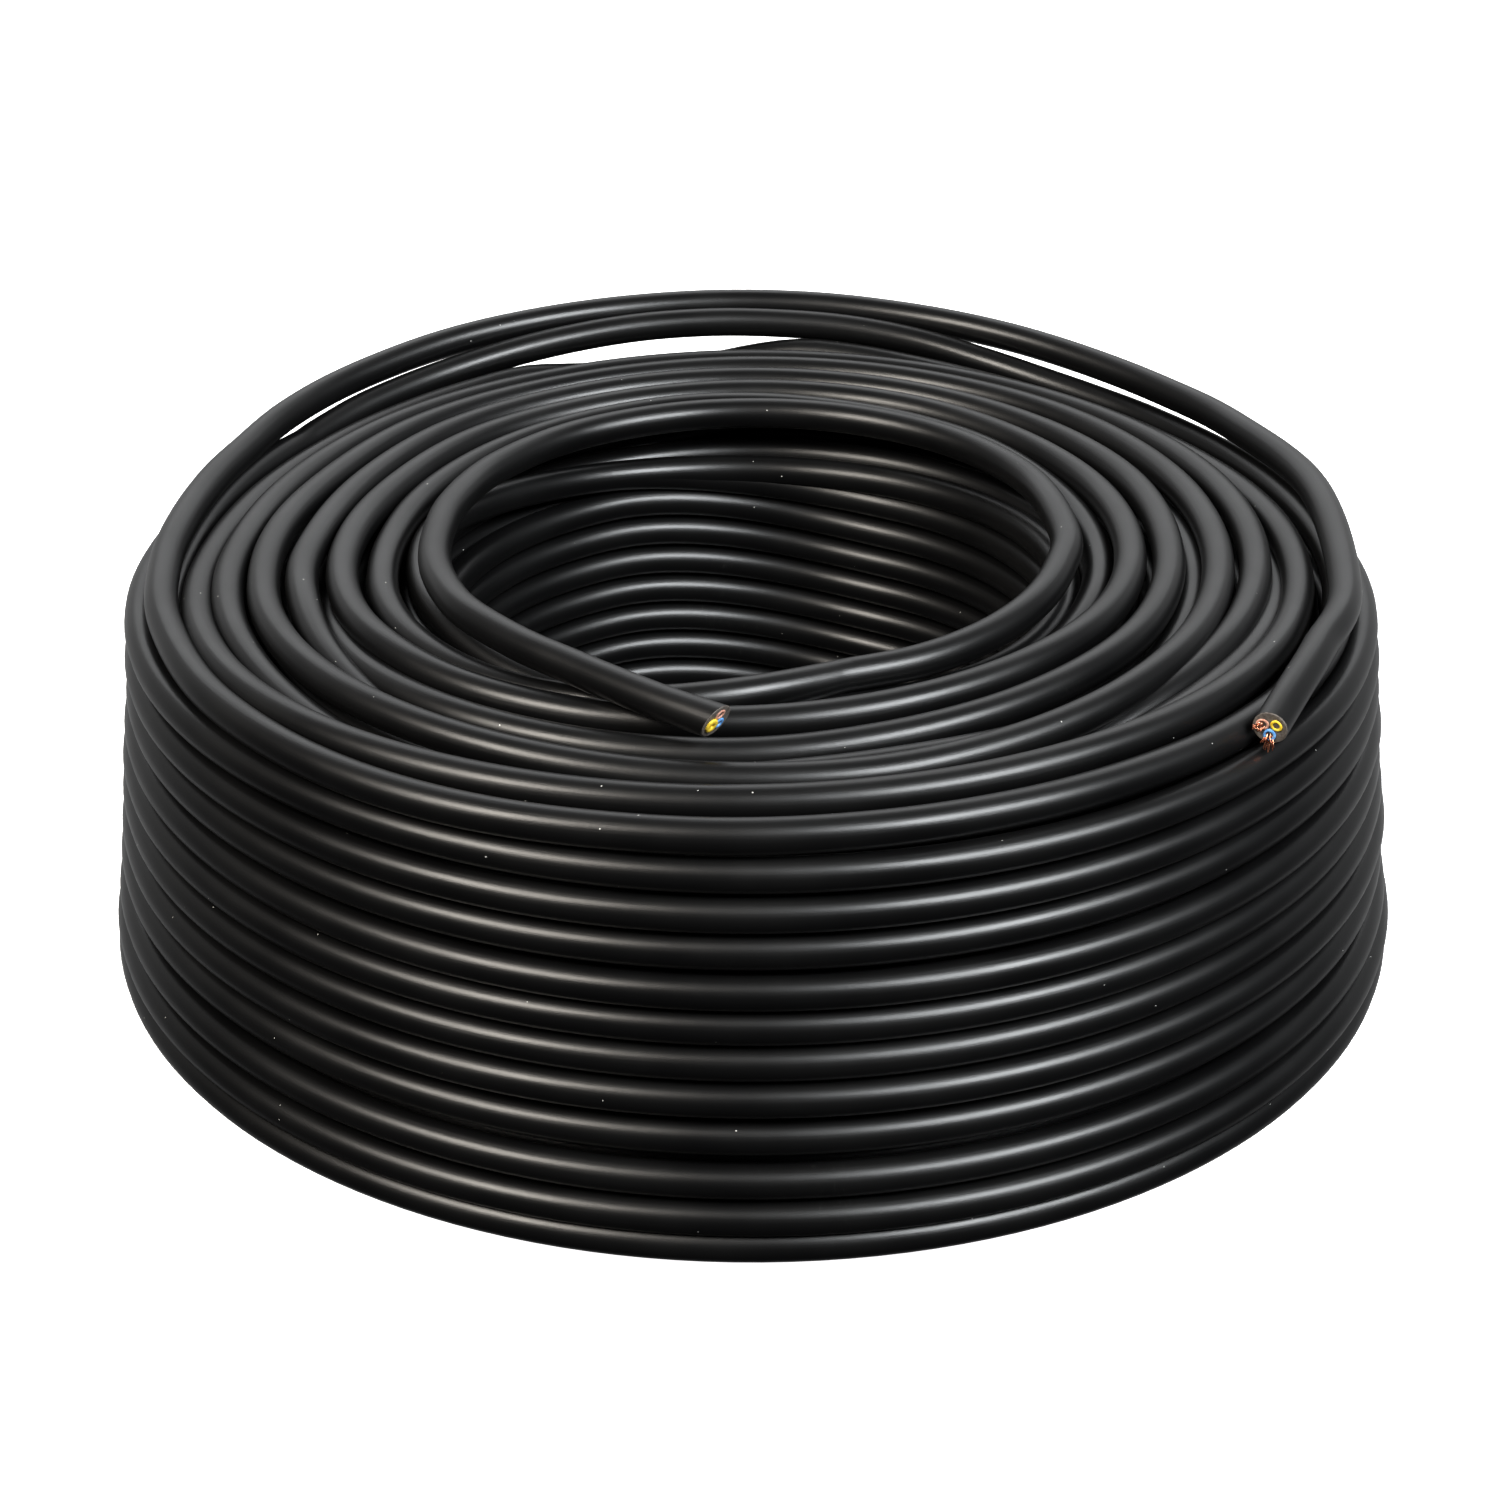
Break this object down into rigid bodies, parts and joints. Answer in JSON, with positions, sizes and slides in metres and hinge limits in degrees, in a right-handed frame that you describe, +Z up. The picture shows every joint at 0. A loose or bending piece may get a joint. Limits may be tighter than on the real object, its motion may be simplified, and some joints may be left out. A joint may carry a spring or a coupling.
{
  "type": "coil of electrical cable",
  "caption": "Flat coil of round black flexible multicore cable, machine wound round an open bore, with one cut end lying over the rim and one over the top.",
  "frame": {"origin": "centre of the coil's underside, on the axis of the bore", "axes": "+Z up along the axis of the bore; the cut end from the bore lies towards -Y, and the outer cut end between +X and -Y"},
  "size_m": [0.3418, 0.3418, 0.1202],
  "materials": {
    "sheath": "satin",
    "brown_insulation": "satin",
    "blue_insulation": "satin",
    "yellow_green_insulation": "satin",
    "copper": "bright"
  },
  "bodies": {
    "root": {"wound_turns": "sheath", "loose_outer_turns": "sheath", "inner_end": "sheath", "outer_core_brown": "brown_insulation", "outer_core_blue": "blue_insulation", "outer_core_yellow_green": "yellow_green_insulation", "outer_conductor_brown": "copper", "outer_conductor_blue": "copper", "outer_conductor_yellow_green": "copper", "inner_core_brown": "brown_insulation", "inner_core_blue": "blue_insulation", "inner_core_yellow_green": "yellow_green_insulation", "inner_conductor_brown": "copper", "inner_conductor_blue": "copper", "inner_conductor_yellow_green": "copper"}
  },
  "joints": []
}
